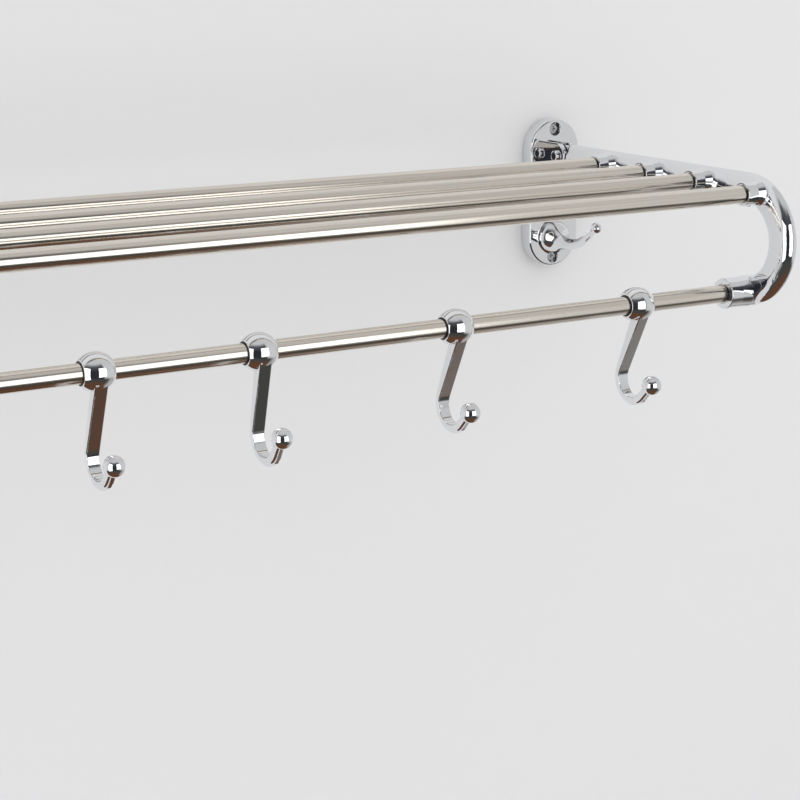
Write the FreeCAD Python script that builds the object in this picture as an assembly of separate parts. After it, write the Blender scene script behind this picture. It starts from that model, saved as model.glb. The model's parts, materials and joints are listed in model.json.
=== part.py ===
import FreeCAD, Part
import os
from math import acos, atan2, cos, pi, radians, sin, sqrt

# Wall-mounted towel rack: four shelf tubes and a lower hanging bar between two cast arms, which fold up
# on two wall plates. Millimetres. X runs along the tubes, +Y into the wall, +Z up. The origin is on the
# wall plane, at the centre of the four wall screws. The right end (+X) is built and mirrored for the left.

Vec = FreeCAD.Vector
X_AXIS = Vec(1, 0, 0)
Y_AXIS = Vec(0, 1, 0)
OUT = Vec(0, -1, 0)           # off the wall, into the room
DOWN = Vec(0, 0, -1)

# ---- driving dimensions ----
rack_length = 600.0        # over the outer faces of the two arms
running_gap = 0.05         # radial clearance of a shaft that turns or slides
fixed_gap = 0.04           # radial clearance of a tube or screw that is fixed in its hole

# tubes
tube_d = 12.0
tube_wall = 0.8
tube_pitch = 54.0          # between neighbouring shelf tubes
front_tube_y = -247.0
bar_y = -237.9

# cast arms
arm_width = 12.4           # along X
arm_depth = 19.0           # across the arm, in its own plane
arm_z = 29.8               # centreline of the straight run
bend_r = 35.0              # centreline of the C bend
bend_y = -234.2            # centre of the C bend
dome_start_ends = -4.5     # where the flat side turns into the dome, at both ends of the bend
dome_start_middle = 3.5    # and at the middle of the bend, from the centreline outwards
dome_break = radians(16)   # the angle left as a crease between flat side and dome
arm_corner = 2.4           # rounding of the arm's inner corners
bend_sections = 15

# sockets for the tubes, measured from the arm's inner side
shelf_boss_d = 15.8
shelf_boss_reach = 12.9
bar_boss_d = 20.6
bar_boss_reach = 17.6
bar_collar = 9.6           # plain end of the bar's boss, before its flare
shelf_rim_round = 0.45
bar_rim_round = 0.6
shelf_flare_length = 4.6   # the shelf bosses widen over this length
shelf_flare = 1.3          # by this much in radius
bar_flare_in = 0.25        # step down in radius at the crease
bar_flare_out = 0.35       # and up again where the boss meets the arm
bar_back_round = 4.0       # rounded back of the bar's boss
bar_back_inset = 0.6       # how far it stays inside the arm's outer side
socket_bottom = 1.8        # how far the tube goes into the arm
mouth_d = 13.9             # shallow counterbore around the tube
mouth_depth = 1.6

# grub screws that hold the tubes
grub_d = 3.0
grub_length = 3.0
grub_hex = 1.5             # across flats
grub_chamfer = 0.25
grub_from_rim = 6.5        # from the boss's rim, along the tube

# wall plates
plate_width = 44.4
plate_height = 112.4
plate_thick = 10.7
plate_edge = 1.3           # rounding of the front edge
screw_spacing = 98.0       # between the two screws of one plate

# wall screws
screw_d = 4.2
screw_neck_d = 3.6         # plain neck within the plate
screw_clearance = 0.2      # radial, in the plate's hole
screw_head_d = 8.6
screw_head_height = 2.7
screw_head_round = 1.2
screw_point = 6.0          # length of the tapered point
screw_point_r = 0.4
screw_slot = (4.2, 1.0, 1.5)   # length, width and depth of each arm of the cross
screw_behind = 32.0        # how far the screw goes past the wall plane
counterbore_d = 10.4
counterbore_floor = 5.3    # thickness of plate left under the screw head

# fold hinge
pivot_y = -21.5
pivot_d = 5.0
tongue_thick = 5.0
washer_thick = 0.5
washer_d = 11.5
side_gap = 0.1             # each side of a washer, along the pin
ear_r = 9.5
ear_thick = 3.3
tongue_r = 8.6
heel_gap = 0.2             # heel of the tongue to the plate, where the arm rests level
shoulder_gap = 0.9         # ears to the arm's shoulder
shoulder_chamfer = 0.8
ear_round = 0.8
bolt_head_d = 9.0
bolt_head_height = 2.4
bolt_head_round = 1.6
bolt_hex = 3.0             # across flats
bolt_hex_depth = 1.5
nut_cap = 0.8              # thickness of the nut's closed end

# wall hook, from the plate's front face and the centre of its lower round end: way out, way up, radius
wall_hook_ball_r = 4.3
wall_hook_foot = 0.9       # how far its foot goes into the plate
wall_hook_line = [(0, 0, 13.4), (2.2, -0.2, 13.1), (4.5, -0.5, 12), (7, -1, 10.2), (10, -1.5, 7.8),
                  (14, -2.1, 5.8), (19.5, -2.6, 4.5), (28, -1.9, 3.75), (37, 1.3, 3.3),
                  (44.4, 6.2, 2.85), (50, 10.3, 2.55), (54.5, 13.7, 2.3)]

# sliding hooks, measured from the axis of the bar
hook_x = [-180.2, -79.2, 56.3, 197.1]
hook_lean = [5.5, 12.9, 1.0, 1.0]   # degrees that each one hangs further forward
ball_r = 11.5
ball_half_width = 9.3
ball_face_r = 7.7          # the barrel-shaped ball ends in flats of this radius
ball_edge_round = 0.5
liner_d = 14.0
liner_recess = 0.3
stem_lean = radians(25)    # the stem runs down and back at this angle
stem_top_drop = 2.0        # the stem starts this far down its line, inside the ball
stem_front = 10.65         # its inner face from the bar's axis, at the ball
stem_back = -0.75          # its back from the bar's axis, at the ball
stem_width = 8.2
throat_r = 14.0            # centreline of the J
throat_y = 1.81
throat_z = -50.5
throat_depth = 6.2         # where the stem turns into the J
throat_width = 8.6
tip_depth = 5.0            # at the end ball
tip_width = 5.8
end_ball_r = 6.4
end_ball_y = -17.25
end_ball_z = -50.84
inner_edge_round = 0.7     # rounded edges of the stem's inner face
side_draft = 0.18          # how much each side narrows towards the back
cove_share = 0.22          # hollow along each back edge, as a share of the width
throat_sections = 13

# ---- worked out from them ----
arm_x = (rack_length - arm_width) / 2            # centre plane of an arm and its wall plate
arm_inner_x = arm_x - arm_width / 2
tube_end_x = arm_inner_x + socket_bottom
bend_z = arm_z - bend_r
plate_front_y = -plate_thick
plate_round_z = -(plate_height - plate_width) / 2   # centre of the plate's lower round end
slot_width = tongue_thick + 2 * (washer_thick + 2 * side_gap)
shoulder_y = pivot_y - ear_r - shoulder_gap


def on_bend(y, sign):
    """Height of the bend's centreline at y: its upper half for sign 1, its lower half for -1."""
    return bend_z + sign * sqrt(bend_r ** 2 - (y - bend_y) ** 2)


shelf_tubes = [(front_tube_y, on_bend(front_tube_y, 1))]
shelf_tubes += [(front_tube_y + tube_pitch * n, arm_z) for n in (1, 2, 3)]
bar_z = on_bend(bar_y, -1)


# ---- small helpers ----
def rod(radius, x0, x1, y, z):
    """A cylinder along X."""
    return Part.makeCylinder(radius, x1 - x0, Vec(x0, y, z), X_AXIS)


def cone_x(r0, r1, x0, x1, y, z):
    """A cone along X."""
    return Part.makeCone(r0, r1, x1 - x0, Vec(x0, y, z), X_AXIS)


def mirrored(shape):
    """The same part for the left end."""
    return shape.mirror(Vec(0, 0, 0), X_AXIS)


def loop(points):
    """Straight edges through a closed list of points, as a face."""
    return Part.Face(Part.makePolygon(points + [points[0]]))


def export(name, shape):
    """Writes one node as a STEP file."""
    shape.exportStep(f"parts/{name}.step")


# ---- tubes ----
def drilled_tube(y, z, boss_rim_x):
    """A tube across the rack, with the two holes that its grub screws enter from below."""
    tube = rod(tube_d / 2, -tube_end_x, tube_end_x, y, z)
    tube = tube.cut(rod(tube_d / 2 - tube_wall, -tube_end_x, tube_end_x, y, z))
    hole_x = boss_rim_x + grub_from_rim
    for x in (-hole_x, hole_x):
        hole = Part.makeCylinder(grub_d / 2 + fixed_gap, tube_d / 2, Vec(x, y, z), DOWN)
        tube = tube.cut(hole)
    return tube


def grub_screw(x, y, z):
    """A set screw that stands in the wall of a boss and of its tube, socket down."""
    top = z - tube_d / 2 + tube_wall
    screw = Part.makeCylinder(grub_d / 2, grub_length, Vec(x, y, top), DOWN)
    screw = screw.makeChamfer(grub_chamfer, screw.Edges[0:1] + screw.Edges[2:3])
    corner = grub_hex / sqrt(3)
    hexagon = [Vec(x + corner * cos(n * pi / 3), y + corner * sin(n * pi / 3), top - grub_length)
               for n in range(6)]
    return screw.cut(loop(hexagon).extrude(Vec(0, 0, grub_length / 2)))


# ---- arms ----
def arm_section(angle):
    """The arm's outline at an angle round the bend: 0 at its top, 90 degrees at its front."""
    half = arm_width / 2
    low = -arm_depth / 2
    high = arm_depth / 2
    side_end = dome_start_ends + (dome_start_middle - dome_start_ends) * sin(angle) ** 2
    dome_a = half / cos(dome_break)
    dome_b = (high - side_end) / (1 - sin(dome_break))
    dome_base = side_end - dome_b * sin(dome_break)

    def at(x, out):
        out += bend_r
        return Vec(arm_x + x, bend_y - out * sin(angle), bend_z + out * cos(angle))

    steps = 12
    turns = [dome_break + (pi - 2 * dome_break) * n / steps for n in range(steps + 1)]
    dome = Part.BSplineCurve()
    dome.interpolate([at(-dome_a * cos(t), dome_base + dome_b * sin(t)) for t in turns])
    k = arm_corner * (1 - sqrt(0.5))
    return Part.Wire([
        Part.makeLine(at(-half, low + arm_corner), at(-half, side_end)),
        dome.toShape(),
        Part.makeLine(at(half, side_end), at(half, low + arm_corner)),
        Part.Arc(at(half, low + arm_corner), at(half - k, low + k), at(half - arm_corner, low)).toShape(),
        Part.makeLine(at(half - arm_corner, low), at(arm_corner - half, low)),
        Part.Arc(at(arm_corner - half, low), at(k - half, low + k), at(-half, low + arm_corner)).toShape(),
    ])


def shelf_boss(y, z):
    """Round boss on the arm's inner side, flaring where it meets the arm."""
    rim_x = arm_inner_x - shelf_boss_reach
    radius = shelf_boss_d / 2
    plain = rod(radius, rim_x, arm_inner_x + 1, y, z)
    plain = plain.makeFillet(shelf_rim_round, [e for e in plain.Edges if abs(e.BoundBox.XMax - rim_x) < 0.01])
    flare_start = arm_inner_x - shelf_flare_length
    return plain.fuse(cone_x(radius, radius + shelf_flare, flare_start, arm_inner_x + 0.6, y, z))


def bar_boss(y, z):
    """Larger boss that ends the arm: a plain collar, a crease, a slight flare and a rounded back."""
    rim_x = arm_inner_x - bar_boss_reach
    radius = bar_boss_d / 2
    collar = rod(radius, rim_x, rim_x + bar_collar, y, z)
    collar_rim = [e for e in collar.Edges if abs(e.BoundBox.XMax - rim_x) < 0.01]
    collar = collar.makeFillet(bar_rim_round, collar_rim)
    wide = radius + bar_flare_out
    flare = cone_x(radius - bar_flare_in, wide, rim_x + bar_collar, arm_inner_x, y, z)
    back = rod(wide, arm_inner_x, arm_x + arm_width / 2 - bar_back_inset, y, z)
    back_end = [e for e in back.Edges if e.BoundBox.XMin > arm_x + 1 and e.BoundBox.YLength > 1]
    return collar.fuse([flare, back.makeFillet(bar_back_round, back_end)])


def socket(y, z, rim_x):
    """What is cut out of a boss for a tube: the bore, its mouth and the grub screw's hole."""
    bore = rod(tube_d / 2 + fixed_gap, rim_x - 1, tube_end_x + 0.2, y, z)
    mouth = rod(mouth_d / 2, rim_x - 1, rim_x + mouth_depth, y, z)
    screw_x = rim_x + grub_from_rim
    hole = Part.makeCylinder(grub_d / 2 + fixed_gap, bar_boss_d, Vec(screw_x, y, z), DOWN)
    return bore.fuse([mouth, hole])


def arm_tongue():
    """The hinge tongue: round above, square heel below that rests against the plate."""
    root_y = shoulder_y - 1
    heel_y = plate_front_y - heel_gap
    round_end = rod(tongue_r, arm_x - tongue_thick / 2, arm_x + tongue_thick / 2, pivot_y, arm_z)
    low_z = arm_z - tongue_r

    def slab(y0, y1, z0, z1):
        return Part.makeBox(tongue_thick, y1 - y0, z1 - z0, Vec(arm_x - tongue_thick / 2, y0, z0))

    tongue = round_end.fuse([slab(root_y, pivot_y, low_z, arm_z + tongue_r),
                             slab(pivot_y, heel_y, low_z, arm_z)])
    return tongue.cut(rod(pivot_d / 2 + running_gap, arm_x - arm_width, arm_x + arm_width, pivot_y, arm_z))


def bracket_arm():
    """One cast arm: straight run, C bend, tube bosses and hinge tongue."""
    end_angle = pi - (bend_y - bar_y) / bend_r
    angles = [end_angle * n / (bend_sections - 1) for n in range(bend_sections)]
    bend = Part.makeLoft([arm_section(a) for a in angles], True, False)
    run = Part.Face(arm_section(0)).extrude(Vec(0, shoulder_y - bend_y, 0))
    shoulder = [e for e in run.Edges if e.BoundBox.YMin > shoulder_y - 0.01]
    run = run.makeChamfer(shoulder_chamfer, shoulder)
    bosses = [shelf_boss(y, z) for y, z in shelf_tubes]
    arm = bend.fuse([run, bar_boss(bar_y, bar_z), arm_tongue()] + bosses).removeSplitter()
    shelf_rim = arm_inner_x - shelf_boss_reach
    cuts = [socket(y, z, shelf_rim) for y, z in shelf_tubes]
    cuts.append(socket(bar_y, bar_z, arm_inner_x - bar_boss_reach))
    return arm.cut(cuts)


# ---- wall plates, hinge and screws ----
def screw_heights():
    return (-screw_spacing / 2, screw_spacing / 2)


def wall_hook():
    """Trumpet-shaped hook cast on the plate: it leaves square, dips, and curves up to a small ball."""
    places = [Vec(arm_x, plate_front_y - out, plate_round_z + up) for out, up, _ in wall_hook_line]
    rings = []
    for n, place in enumerate(places):
        ahead = places[min(n + 1, len(places) - 1)]
        behind = places[max(n - 1, 0)]
        direction = (ahead - behind) if n else OUT
        radius = wall_hook_line[n][2]
        rings.append(Part.Wire(Part.makeCircle(radius, place, direction)))
    horn = Part.makeLoft(rings, True, False)
    foot = Part.makeCylinder(wall_hook_line[0][2], wall_hook_foot, places[0] - OUT * wall_hook_foot, OUT)
    return horn.fuse([foot, Part.makeSphere(wall_hook_ball_r, places[-1])])


def hinge_ears():
    """Two ears that hold the pivot bolt, one each side of the arm's tongue."""
    ears = []
    for side in (-1, 1):
        x0 = arm_x + side * (slot_width + ear_thick) / 2 - ear_thick / 2
        disc = rod(ear_r, x0, x0 + ear_thick, pivot_y, arm_z)
        web = Part.makeBox(ear_thick, plate_front_y + 1 - pivot_y, 2 * ear_r, Vec(x0, pivot_y, arm_z - ear_r))
        ear = disc.fuse(web).removeSplitter()
        outer_x = x0 + ear_thick if side > 0 else x0
        rim = [e for e in ear.Edges if abs(e.BoundBox.XMin - outer_x) < 0.01
               and abs(e.BoundBox.XMax - outer_x) < 0.01 and e.BoundBox.YMin < plate_front_y - 0.01]
        ears.append(ear.makeFillet(ear_round, rim))
    return ears


def wall_plate():
    """Oblong cast plate with hinge ears above, hook below and two counterbored screw holes."""
    half = plate_width / 2
    centres = [Vec(arm_x, 0, z) for z in (plate_round_z, -plate_round_z)]
    discs = [Part.makeCylinder(half, plate_thick, c, OUT) for c in centres]
    middle = Part.makeBox(plate_width, plate_thick, -2 * plate_round_z,
                          Vec(arm_x - half, -plate_thick, plate_round_z))
    plate = middle.fuse(discs).removeSplitter()
    front = [e for e in plate.Edges if e.BoundBox.YMax < plate_front_y + 0.01]
    plate = plate.makeFillet(plate_edge, front)
    plate = plate.fuse([wall_hook()] + hinge_ears())
    cuts = [rod(pivot_d / 2 + fixed_gap, arm_x - plate_width, arm_x + plate_width, pivot_y, arm_z)]
    for z in screw_heights():
        cuts.append(Part.makeCylinder(screw_d / 2 + screw_clearance, plate_thick + 2, Vec(arm_x, 1, z), OUT))
        cuts.append(Part.makeCylinder(counterbore_d / 2, plate_thick, Vec(arm_x, -counterbore_floor, z), OUT))
    return plate.cut(cuts)


def wall_screw(z):
    """Pan-head screw with a cross recess: a plain neck in the plate, the thread's full width in the wall."""
    seat = Vec(arm_x, -counterbore_floor, z)
    head = Part.makeCylinder(screw_head_d / 2, screw_head_height, seat, OUT)
    head_top = -counterbore_floor - screw_head_height
    rim = [e for e in head.Edges if e.BoundBox.YMax < head_top + 0.01]
    head = head.makeFillet(screw_head_round, rim)
    neck = Part.makeCylinder(screw_neck_d / 2, counterbore_floor, seat, Y_AXIS)
    length = screw_behind - screw_point
    thread = Part.makeCylinder(screw_d / 2, length, Vec(arm_x, 0, z), Y_AXIS)
    point = Part.makeCone(screw_d / 2, screw_point_r, screw_point, Vec(arm_x, length, z), Y_AXIS)
    screw = head.fuse([neck, thread, point]).removeSplitter()
    reach, width, depth = screw_slot
    for wide, tall in ((reach, width), (width, reach)):
        corner = Vec(arm_x - wide / 2, head_top, z - tall / 2)
        screw = screw.cut(Part.makeBox(wide, depth, tall, corner))
    return screw


def pivot_bolt():
    """Bolt with a low domed head on the outer side of the ears."""
    outer = slot_width / 2 + ear_thick
    end_x = arm_x - outer - bolt_head_height + nut_cap + running_gap
    shank = rod(pivot_d / 2, end_x, arm_x + outer, pivot_y, arm_z)
    head = rod(bolt_head_d / 2, arm_x + outer, arm_x + outer + bolt_head_height, pivot_y, arm_z)
    rim = [e for e in head.Edges if e.BoundBox.XMin > arm_x + outer + bolt_head_height - 0.01]
    head = head.makeFillet(bolt_head_round, rim)
    corner = bolt_hex / sqrt(3)
    hexagon = [Vec(arm_x + outer + bolt_head_height, pivot_y + corner * cos(n * pi / 3),
                   arm_z + corner * sin(n * pi / 3)) for n in range(6)]
    return shank.fuse(head).cut(loop(hexagon).extrude(Vec(-bolt_hex_depth, 0, 0)))


def pivot_nut():
    """Round domed nut on the inner side of the ears, over the end of the bolt."""
    face = arm_x - slot_width / 2 - ear_thick
    nut = rod(bolt_head_d / 2, face - bolt_head_height, face, pivot_y, arm_z)
    rim = [e for e in nut.Edges if e.BoundBox.XMax < face - bolt_head_height + 0.01]
    nut = nut.makeFillet(bolt_head_round, rim)
    return nut.cut(rod(pivot_d / 2 + fixed_gap, face - bolt_head_height + nut_cap, face + 1, pivot_y, arm_z))


def pivot_washers():
    """A thin washer each side of the tongue."""
    washers = []
    for side in (-1, 1):
        middle = arm_x + side * (tongue_thick / 2 + side_gap + washer_thick / 2)
        ring = rod(washer_d / 2, middle - washer_thick / 2, middle + washer_thick / 2, pivot_y, arm_z)
        washers.append(ring.cut(rod(pivot_d / 2 + side_gap, middle - 1, middle + 1, pivot_y, arm_z)))
    return washers


# ---- sliding hooks ----
def hook_section(place, inward, depth, width):
    """Outline square to the hook's line: flat inner face, drafted sides, a hollow along each back edge."""
    front = depth / 2
    cove = cove_share * width
    side_end = cove - depth / 2
    k = inner_edge_round * (1 - sqrt(0.5))
    half = width / 2
    half_back = half - side_draft * (depth - cove)

    def at(x, inner):
        return place + X_AXIS * x + inward * inner

    def side(sign):
        """Edges of one side, from the inner face to the back."""
        edge = [at(sign * (half - inner_edge_round), front), at(sign * (half - k), front - k),
                at(sign * half, front - inner_edge_round)]
        back = [at(sign * half_back, side_end),
                at(sign * (half_back - cove * sqrt(0.5)), side_end - cove * (1 - sqrt(0.5))),
                at(sign * (half_back - cove), -depth / 2)]
        return edge, back

    edge_a, back_a = side(1)
    edge_b, back_b = side(-1)
    return Part.Wire([
        Part.Arc(*edge_a).toShape(),
        Part.makeLine(edge_a[2], back_a[0]),
        Part.Arc(*back_a).toShape(),
        Part.makeLine(back_a[2], back_b[2]),
        Part.Arc(*back_b[::-1]).toShape(),
        Part.makeLine(back_b[0], edge_b[2]),
        Part.Arc(*edge_b[::-1]).toShape(),
        Part.makeLine(edge_b[0], edge_a[0]),
    ])


def hook_ball():
    """Barrel-shaped ball about the bar: an arc turned about X, with rounded edges at its two flats."""
    rim = Vec(ball_half_width, 0, -ball_face_r)
    far = Vec(-ball_half_width, 0, -ball_face_r)
    outline = Part.Wire([
        Part.makeLine(Vec(-ball_half_width, 0, 0), far),
        Part.Arc(far, Vec(0, 0, -ball_r), rim).toShape(),
        Part.makeLine(rim, Vec(ball_half_width, 0, 0)),
        Part.makeLine(Vec(ball_half_width, 0, 0), Vec(-ball_half_width, 0, 0)),
    ])
    ball = Part.Face(outline).revolve(Vec(0, 0, 0), X_AXIS, 360)
    rims = [e for e in ball.Edges if e.BoundBox.XLength < 0.01 and e.BoundBox.YLength > ball_r]
    return ball.makeFillet(ball_edge_round, rims)


def throat_point(turn):
    """Point on the J's centreline and the direction to its centre; turn runs back to front from 0."""
    angle = stem_lean - turn
    out = Vec(0, cos(angle), sin(angle))
    return Vec(0, throat_y, throat_z) + out * throat_r, out * -1


def sliding_hook():
    """One cast hook about the bar's axis at the origin: pierced ball, leaning stem, J, straight tip, end ball."""
    foot, inward = throat_point(0)
    up = Vec(0, -sin(stem_lean), cos(stem_lean))
    top = inward * ((stem_front + stem_back) / 2) - up * stem_top_drop
    stem = Part.makeLoft([hook_section(top, inward, stem_front - stem_back, stem_width),
                          hook_section(foot, inward, throat_depth, throat_width)], True, True)
    end = Vec(0, end_ball_y, end_ball_z)
    reach = end - Vec(0, throat_y, throat_z)
    whole_turn = stem_lean - atan2(reach.z, reach.y) - acos(throat_r / reach.Length)
    straight = sqrt(reach.Length ** 2 - throat_r ** 2)
    straight_share = straight / (straight + whole_turn * throat_r)

    def section(place, to_centre, share):
        depth = throat_depth + (tip_depth - throat_depth) * share
        width = throat_width + (tip_width - throat_width) * share
        return hook_section(place, to_centre, depth, width)

    sections = []
    for n in range(throat_sections):
        share = n / (throat_sections - 1)
        place, to_centre = throat_point(whole_turn * share)
        sections.append(section(place, to_centre, share * (1 - straight_share)))
    throat = Part.makeLoft(sections, True, False)
    tip = Part.makeLoft([sections[-1], section(end, to_centre, 1)], True, True)
    end_ball = Part.makeSphere(end_ball_r, end)
    hook = hook_ball().fuse([stem, throat, tip, end_ball])
    return hook.cut(rod(liner_d / 2 + running_gap, -ball_r, ball_r, 0, 0))


def hook_liner():
    """Plain sleeve in the hook's ball, which slides on the bar and which the hook turns on."""
    half = ball_half_width - liner_recess
    return rod(liner_d / 2, -half, half, 0, 0).cut(rod(tube_d / 2 + running_gap, -half, half, 0, 0))


def on_bar(shape, x, lean=0.0):
    """A hook or liner at its place along the bar, turned forward by lean degrees."""
    placed = shape.copy()
    placed.rotate(Vec(0, 0, 0), X_AXIS, -lean)
    placed.translate(Vec(x, bar_y, bar_z))
    return placed


# ---- all nodes ----
os.makedirs("parts", exist_ok=True)

for name, (y, z) in zip(("front", "second", "third", "rear"), shelf_tubes):
    export(f"shelf_tube_{name}", drilled_tube(y, z, arm_inner_x - shelf_boss_reach))
export("hanging_bar", drilled_tube(bar_y, bar_z, arm_inner_x - bar_boss_reach))

grubs = []
for side in (-1, 1):
    for y, z in shelf_tubes:
        grubs.append(grub_screw(side * (arm_inner_x - shelf_boss_reach + grub_from_rim), y, z))
    grubs.append(grub_screw(side * (arm_inner_x - bar_boss_reach + grub_from_rim), bar_y, bar_z))
export("tube_grub_screws", Part.makeCompound(grubs))

for name, make in (("bracket_arm", bracket_arm), ("wall_plate", wall_plate), ("pivot_bolt", pivot_bolt)):
    right = make()
    export(f"{name}_right", right)
    export(f"{name}_left", mirrored(right))

nut = pivot_nut()
export("pivot_nuts", Part.makeCompound([nut, mirrored(nut)]))
washers = pivot_washers()
export("pivot_washers", Part.makeCompound(washers + [mirrored(w) for w in washers]))
screws = [wall_screw(z) for z in screw_heights()]
export("wall_screws", Part.makeCompound(screws + [mirrored(s) for s in screws]))

hook = sliding_hook()
liner = hook_liner()
for number, (x, lean) in enumerate(zip(hook_x, hook_lean), start=1):
    export(f"sliding_hook_{number}", on_bar(hook, x, lean))
    export(f"hook_liner_{number}", on_bar(liner, x))
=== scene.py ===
import json
from math import cos, pi, radians, sin

import bmesh
import bpy
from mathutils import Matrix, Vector, geometry


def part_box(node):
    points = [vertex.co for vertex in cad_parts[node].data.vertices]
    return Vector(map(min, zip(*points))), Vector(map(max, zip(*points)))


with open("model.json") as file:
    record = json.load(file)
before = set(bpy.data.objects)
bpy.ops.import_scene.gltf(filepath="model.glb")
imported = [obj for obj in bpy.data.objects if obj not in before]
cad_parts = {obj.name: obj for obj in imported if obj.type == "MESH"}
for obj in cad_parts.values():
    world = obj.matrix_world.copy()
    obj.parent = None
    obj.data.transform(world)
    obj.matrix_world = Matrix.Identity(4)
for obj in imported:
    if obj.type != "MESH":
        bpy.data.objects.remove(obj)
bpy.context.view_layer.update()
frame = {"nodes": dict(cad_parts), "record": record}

# Lengths are metres and angles degrees, in the rack's own frame: +X along the tubes to the right, +Y into
# the wall, +Z up. The wall plane is y = 0. The rack is all hard parts, so its CAD shapes are kept as they
# are: this script gives them their materials, and adds the wall, the light and the camera.

# ---- camera ----
CAMERA_PLACE = (-0.5779, -1.2141, 0.1986)
CAMERA_TURN = 31.35         # towards +X from looking straight at the wall
CAMERA_DIP = 13.75          # below level
FOCAL_LENGTH = 87.0         # mm
SENSOR_WIDTH = 36.0         # mm

# ---- wall and floor ----
WALL_HALF = 3.0             # the wall runs this far to each side, and up
WALL_GAP = 0.0005           # behind the backs of the wall plates
WALL_SPLIT_Z = -0.55        # reflections don't see the wall below here, but the brown ground instead
FLOOR_Z = -1.6
FLOOR_LOW = (-4.0, -5.0)
FLOOR_HIGH = (4.0, 3.0)
HOLE_INSET = 0.002          # the wall's holes are this much smaller than the wall plates, all round
HOLE_STEPS = 24             # sides of each round end of a hole
MERGE_DISTANCE = 1e-6

# ---- soft boxes: each stands upright between two feet (x, y), from low z to high z ----
SOFT_BOX_RADIANCE = 1.7
SOFT_BOXES = {
    "right_soft_box": {"left": (-0.155, -1.238), "right": (0.67, -1.238), "low": -0.42, "high": 0.50},
    "left_soft_box": {"left": (-0.871, -0.347), "right": (-0.69, -0.838), "low": -0.52, "high": 0.39},
}

# ---- room seen in reflections ----
PALE_ROOM = (0.66, 0.66, 0.66, 1)
CEILING = (0.60, 0.60, 0.60, 1)
DARK_ROOM = (0.030, 0.031, 0.038, 1)
DARK_TOP = (0.085, 0.088, 0.10, 1)
DARK_GROUND = (0.062, 0.063, 0.058, 1)
BROWN_GROUND = (0.125, 0.059, 0.033, 1)
PALE_GROUND = (0.50, 0.49, 0.48, 1)
WALL_LIGHT = (1.03, 1.03, 1.035, 1)     # what lights the wall and other matt things
BACKDROP = (0.76, 0.76, 0.765, 1)       # past the edges of the wall and floor

# Each blend goes from none to full between two angles. Turn is 0 straight out from the wall and grows
# towards +X. Lift is 0 level and grows upwards.
CEILING_LIFT = (-10, 70)
DARK_FROM_TURN = (-92, -78)             # the dark part of the room, where the camera stands
DARK_TO_TURN = (35, 25)
DARK_BELOW_LIFT = (60, 35)
DARK_TOP_LIFT = (8, 40)
GROUND_LIFT = (-20, -34)
BROWN_LIFT = (-38, -62)
PALE_GROUND_FROM_TURN = (46, 90)
PALE_GROUND_TO_TURN = (128, 98)
PALE_GROUND_LIFT = (-67, -55)


# ---- shader helpers ----
class Nodes:
    """Short calls that add nodes to one shader tree. An input called n3 is the node's socket number 3."""

    def __init__(self, tree):
        self.tree = tree
        tree.nodes.clear()

    def add(self, kind, settings=None, **inputs):
        node = self.tree.nodes.new(kind)
        for key, value in (settings or {}).items():
            setattr(node, key, value)
        for key, value in inputs.items():
            self.set(node, key.replace("_", " "), value)
        return node

    def set(self, node, key, value):
        """Link another node's output to this input, or give it a plain value."""
        numbered = key[0] == "n" and key[1:].isdigit()
        socket = node.inputs[int(key[1:]) if numbered else key]
        if isinstance(value, bpy.types.NodeSocket):
            self.tree.links.new(value, socket)
        else:
            socket.default_value = value

    def math(self, operation, a, b=0.0):
        return self.add("ShaderNodeMath", {"operation": operation}, n0=a, n1=b).outputs[0]

    def product(self, a, b):
        return self.math("MULTIPLY", a, b)

    def place(self, stretch=(1.0, 1.0, 1.0)):
        """Object coordinates. Noise is finer along an axis that is stretched more."""
        place = self.add("ShaderNodeTexCoord").outputs["Object"]
        return self.add("ShaderNodeVectorMath", {"operation": "MULTIPLY"}, n0=place, n1=stretch).outputs[0]

    def noise(self, place, scale=1.0, detail=3.0, roughness=0.5):
        node = self.add("ShaderNodeTexNoise", Vector=place, Scale=scale, Detail=detail, Roughness=roughness)
        return node.outputs["Fac"]

    def remap(self, value, low, high, from_low=0.0, from_high=1.0):
        """Low where the value is from_low, high where it is from_high."""
        node = self.add("ShaderNodeMapRange", n0=value, n1=from_low, n2=from_high, n3=low, n4=high)
        return node.outputs[0]

    def ramp(self, angle, span):
        """0 before the first angle of the span and 1 past the second, smoothly. The span may go down."""
        at_low, at_high = (0.0, 1.0) if span[0] < span[1] else (1.0, 0.0)
        node = self.add("ShaderNodeMapRange", {"interpolation_type": "SMOOTHSTEP"}, n0=angle,
                        n1=radians(min(span)), n2=radians(max(span)), n3=at_low, n4=at_high)
        return node.outputs[0]

    def mix(self, factor, a, b):
        return self.add("ShaderNodeMix", {"data_type": "RGBA"}, n0=factor, n6=a, n7=b).outputs[2]

    def bump(self, height, strength, distance):
        return self.add("ShaderNodeBump", Strength=strength, Distance=distance, Height=height).outputs[0]


def new_material(name):
    material = bpy.data.materials.new(name)
    material.use_nodes = True
    nodes = Nodes(material.node_tree)
    shader = nodes.add("ShaderNodeBsdfPrincipled")
    output = nodes.add("ShaderNodeOutputMaterial")
    nodes.tree.links.new(shader.outputs[0], output.inputs[0])
    return material, nodes, shader


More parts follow.
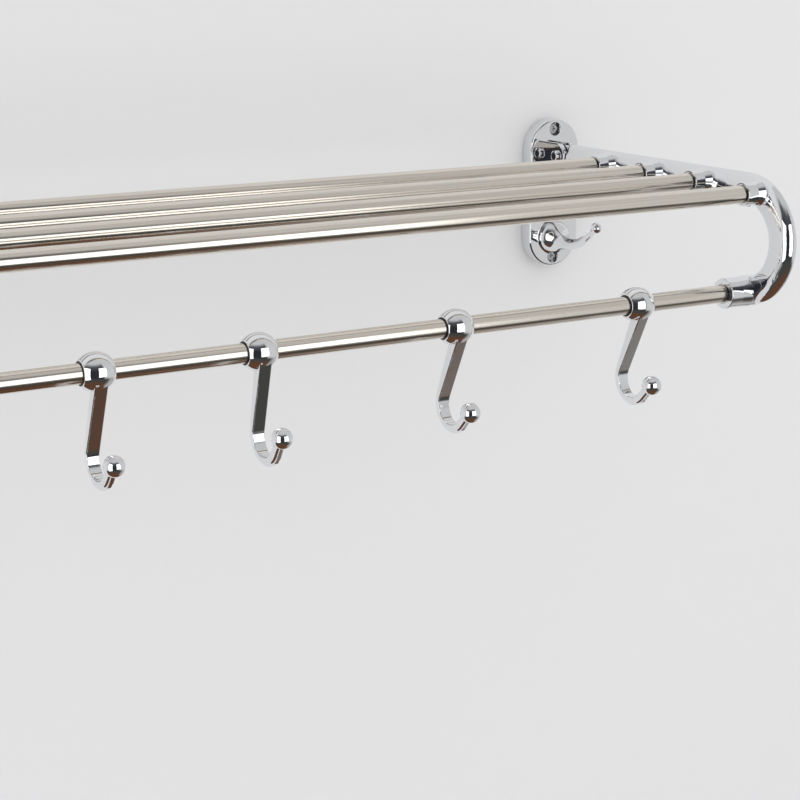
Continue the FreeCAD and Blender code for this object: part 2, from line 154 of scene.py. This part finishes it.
# ---- materials ----
def polished_chrome(name, waviness):
    """Chrome plate on a polished casting: mirror-like, faintly wavy, with thin wiping marks."""
    material, nodes, shader = new_material(name)
    place = nodes.place()
    marks = nodes.noise(place, scale=70.0, detail=5.0, roughness=0.6)
    wipes = nodes.noise(nodes.place(stretch=(900.0, 900.0, 160.0)))
    dulled = nodes.remap(marks, 0.0, 1.0, from_low=0.45, from_high=0.8)
    polish = nodes.product(dulled, nodes.remap(wipes, 0.5, 1.0))
    tint = nodes.mix(nodes.noise(place, scale=22.0), (0.80, 0.81, 0.83, 1), (0.86, 0.865, 0.875, 1))
    waves = nodes.noise(place, scale=120.0, detail=2.5)
    nodes.set(shader, "Base Color", tint)
    nodes.set(shader, "Metallic", 1.0)
    nodes.set(shader, "Roughness", nodes.remap(polish, 0.028, 0.085))
    nodes.set(shader, "Normal", nodes.bump(waves, strength=waviness, distance=0.0004))
    return material


def tube_steel(name):
    """Drawn stainless tube: satin polish, with fine lines along X and a warm cast."""
    material, nodes, shader = new_material(name)
    fine = nodes.noise(nodes.place(stretch=(6.0, 2600.0, 2600.0)), detail=4.0, roughness=0.6)
    broad = nodes.noise(nodes.place(stretch=(2.5, 620.0, 620.0)), roughness=0.6)
    lines = nodes.math("ADD", nodes.product(fine, 0.4), nodes.product(broad, 0.6))
    contrast = nodes.remap(lines, 0.0, 1.0, from_low=0.3, from_high=0.7)
    lined = nodes.mix(contrast, (0.63, 0.578, 0.508, 1), (0.88, 0.832, 0.75, 1))
    patches = nodes.remap(nodes.noise(nodes.place(stretch=(9.0, 60.0, 60.0))), 0.0, 0.35)
    nodes.set(shader, "Base Color", nodes.mix(patches, lined, (0.80, 0.765, 0.705, 1)))
    nodes.set(shader, "Metallic", 1.0)
    nodes.set(shader, "Roughness", nodes.remap(lines, 0.11, 0.24, from_low=0.3, from_high=0.7))
    nodes.set(shader, "Anisotropic", 0.45)
    nodes.set(shader, "Normal", nodes.bump(lines, strength=0.10, distance=0.00012))
    return material


def plain_steel(name, dark, light, roughness):
    """Bright or darkened steel of small screws, with a fine turned grain."""
    material, nodes, shader = new_material(name)
    grain = nodes.noise(nodes.place(stretch=(1500.0, 1500.0, 1500.0)))
    nodes.set(shader, "Base Color", nodes.mix(grain, dark, light))
    nodes.set(shader, "Metallic", 1.0)
    nodes.set(shader, "Roughness", nodes.remap(grain, roughness - 0.06, roughness + 0.08))
    nodes.set(shader, "Normal", nodes.bump(grain, strength=0.12, distance=0.0001))
    return material


def nylon(name, dark, light, roughness):
    """Moulded nylon with a faint mottle."""
    material, nodes, shader = new_material(name)
    mottle = nodes.noise(nodes.place(), scale=700.0, detail=4.0)
    nodes.set(shader, "Base Color", nodes.mix(mottle, dark, light))
    nodes.set(shader, "Roughness", nodes.remap(mottle, roughness - 0.05, roughness + 0.1))
    nodes.set(shader, "Normal", nodes.bump(mottle, strength=0.15, distance=0.0001))
    return material


MATERIALS = {
    "polished_chrome": polished_chrome("polished_chrome", waviness=0.10),
    "hinge_chrome": polished_chrome("hinge_chrome", waviness=0.05),
    "tube_steel": tube_steel("tube_steel"),
    "screw_steel": plain_steel("screw_steel", (0.55, 0.55, 0.56, 1), (0.72, 0.72, 0.73, 1), roughness=0.24),
    "grub_steel": plain_steel("grub_steel", (0.10, 0.10, 0.105, 1), (0.20, 0.20, 0.205, 1), roughness=0.38),
    # The liners are real parts, but their near-black colour is painted shade for the dark gap round the bar
    # in each ring ball's bore.
    "liner_nylon": nylon("liner_nylon", (0.010, 0.010, 0.011, 1), (0.022, 0.022, 0.024, 1), roughness=0.42),
    "washer_nylon": nylon("washer_nylon", (0.62, 0.61, 0.57, 1), (0.74, 0.73, 0.69, 1), roughness=0.45),
}

for part in frame["record"]["subparts"]:
    piece = frame["nodes"][part["node"]]
    piece.data.materials.clear()
    piece.data.materials.append(MATERIALS[part["material_slot"]])


# ---- stage ----
def stage_material(name, low, high, one_sided=False):
    """Plain pale paint. A one-sided wall can be looked through from behind."""
    material, nodes, shader = new_material(name)
    nodes.set(shader, "Base Color", nodes.mix(nodes.noise(nodes.place(), scale=2.0), low, high))
    nodes.set(shader, "Roughness", 0.7)
    nodes.set(shader, "Specular IOR Level", 0.2)
    if one_sided:
        clear = nodes.add("ShaderNodeBsdfTransparent")
        back = nodes.add("ShaderNodeNewGeometry").outputs["Backfacing"]
        mixed = nodes.add("ShaderNodeMixShader", n0=back, n1=shader.outputs[0], n2=clear.outputs[0])
        output = next(n for n in nodes.tree.nodes if n.type == "OUTPUT_MATERIAL")
        nodes.tree.links.new(mixed.outputs[0], output.inputs[0])
    return material


def staged(name, mesh, material):
    thing = bpy.data.objects.new(name, mesh)
    bpy.context.scene.collection.objects.link(thing)
    mesh.materials.append(material)
    return thing


def flat_mesh(name, corners):
    mesh = bpy.data.meshes.new(name)
    mesh.from_pydata(corners, [], [tuple(range(len(corners)))])
    return mesh


def plate_hole(side):
    """Outline (x, z, 0) of the wall's hole behind the left (-1) or right (1) wall plate."""
    low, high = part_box("wall_plate_right")
    centre_x = side * (high.x + low.x) / 2
    centre_z = (high.z + low.z) / 2
    radius = (high.x - low.x) / 2 - HOLE_INSET
    straight = (high.z - low.z) / 2 - radius - HOLE_INSET
    outline = []
    for end, first_angle in ((1, 0), (-1, pi)):
        for step in range(HOLE_STEPS + 1):
            angle = first_angle + pi * step / HOLE_STEPS
            outline.append(Vector((centre_x + radius * cos(angle),
                                   centre_z + end * straight + radius * sin(angle), 0)))
    return outline


def wall_mesh():
    """The wall's face, open behind each wall plate, so that the plates' backs and screws show from behind."""
    edge = [(-WALL_HALF, WALL_SPLIT_Z), (WALL_HALF, WALL_SPLIT_Z),
            (WALL_HALF, WALL_HALF), (-WALL_HALF, WALL_HALF)]
    loops = [[Vector((x, z, 0)) for x, z in edge], plate_hole(-1), plate_hole(1)]
    faces = geometry.tessellate_polygon(loops)
    mesh = bpy.data.meshes.new("wall")
    mesh.from_pydata([(x, WALL_GAP, z) for loop in loops for x, z, _ in loop], [], faces)
    build = bmesh.new()
    build.from_mesh(mesh)
    bmesh.ops.remove_doubles(build, verts=build.verts, dist=MERGE_DISTANCE)
    for face in build.faces:
        if face.normal.y > 0:
            face.normal_flip()
    build.to_mesh(mesh)
    build.free()
    return mesh


wall_paint = stage_material("wall_paint", (0.825, 0.825, 0.83, 1), (0.84, 0.84, 0.845, 1), one_sided=True)
floor_paint = stage_material("floor_paint", (0.80, 0.80, 0.80, 1), (0.83, 0.83, 0.83, 1))
staged("wall", wall_mesh(), wall_paint)
wall_below = staged("wall_below", flat_mesh("wall_below", [
    (-WALL_HALF, WALL_GAP, FLOOR_Z), (WALL_HALF, WALL_GAP, FLOOR_Z),
    (WALL_HALF, WALL_GAP, WALL_SPLIT_Z), (-WALL_HALF, WALL_GAP, WALL_SPLIT_Z)]), wall_paint)
floor = staged("floor", flat_mesh("floor", [
    (FLOOR_LOW[0], FLOOR_LOW[1], FLOOR_Z), (FLOOR_HIGH[0], FLOOR_LOW[1], FLOOR_Z),
    (FLOOR_HIGH[0], FLOOR_HIGH[1], FLOOR_Z), (FLOOR_LOW[0], FLOOR_HIGH[1], FLOOR_Z)]), floor_paint)
wall_below.visible_glossy = False
floor.visible_glossy = False


# ---- light ----
def soft_box(name, left, right, low, high):
    """A lamp that only reflections see: the world alone lights the matt wall and floor."""
    width = (Vector(right) - Vector(left)).length
    light = bpy.data.lights.new(name, "AREA")
    light.shape = "RECTANGLE"
    light.size = width
    light.size_y = high - low
    light.energy = SOFT_BOX_RADIANCE * pi * width * (high - low)
    lamp = bpy.data.objects.new(name, light)
    lamp.location = ((left[0] + right[0]) / 2, (left[1] + right[1]) / 2, (low + high) / 2)
    across = Vector((right[0] - left[0], right[1] - left[1], 0)).normalized()
    facing = Vector((0, 0, 1)).cross(across)
    lamp.rotation_euler = (-facing).to_track_quat("Z", "Y").to_euler()
    lamp.visible_camera = False
    lamp.visible_diffuse = False
    bpy.context.scene.collection.objects.link(lamp)


def studio_world():
    """Reflections see a pale room: dark where the camera stands, brown ground in front, pale to the right."""
    world = bpy.data.worlds.new("studio")
    bpy.context.scene.world = world
    world.use_nodes = True
    world.cycles.sampling_method = "NONE"
    nodes = Nodes(world.node_tree)
    direction = nodes.add("ShaderNodeTexCoord").outputs["Generated"]
    x, y, z = nodes.add("ShaderNodeSeparateXYZ", n0=direction).outputs
    turn = nodes.math("ARCTAN2", x, nodes.product(y, -1.0))
    lift = nodes.math("ARCSINE", z)

    pale = nodes.mix(nodes.ramp(lift, CEILING_LIFT), PALE_ROOM, CEILING)
    dark = nodes.mix(nodes.ramp(lift, DARK_TOP_LIFT), DARK_ROOM, DARK_TOP)
    dark_turn = nodes.product(nodes.ramp(turn, DARK_FROM_TURN), nodes.ramp(turn, DARK_TO_TURN))
    room = nodes.mix(nodes.product(dark_turn, nodes.ramp(lift, DARK_BELOW_LIFT)), pale, dark)

    ground = nodes.mix(nodes.ramp(lift, BROWN_LIFT), DARK_GROUND, BROWN_GROUND)
    pale_turn = nodes.product(nodes.ramp(turn, PALE_GROUND_FROM_TURN), nodes.ramp(turn, PALE_GROUND_TO_TURN))
    ground = nodes.mix(nodes.product(pale_turn, nodes.ramp(lift, PALE_GROUND_LIFT)), ground, PALE_GROUND)
    room = nodes.mix(nodes.ramp(lift, GROUND_LIFT), room, ground)

    path = nodes.add("ShaderNodeLightPath").outputs
    seen = nodes.mix(path["Is Glossy Ray"], WALL_LIGHT, room)
    seen = nodes.mix(path["Is Camera Ray"], seen, BACKDROP)
    background = nodes.add("ShaderNodeBackground", Color=seen, Strength=1.0)
    output = nodes.add("ShaderNodeOutputWorld")
    nodes.tree.links.new(background.outputs[0], output.inputs[0])


for name, edges in SOFT_BOXES.items():
    soft_box(name, **edges)
studio_world()

# ---- camera ----
camera = bpy.data.objects.new("camera", bpy.data.cameras.new("camera"))
camera.location = CAMERA_PLACE
camera.rotation_euler = (radians(90 - CAMERA_DIP), 0, radians(-CAMERA_TURN))
camera.data.lens = FOCAL_LENGTH
camera.data.sensor_width = SENSOR_WIDTH
bpy.context.scene.collection.objects.link(camera)
bpy.context.scene.camera = camera
bpy.context.scene.view_settings.view_transform = "Standard"
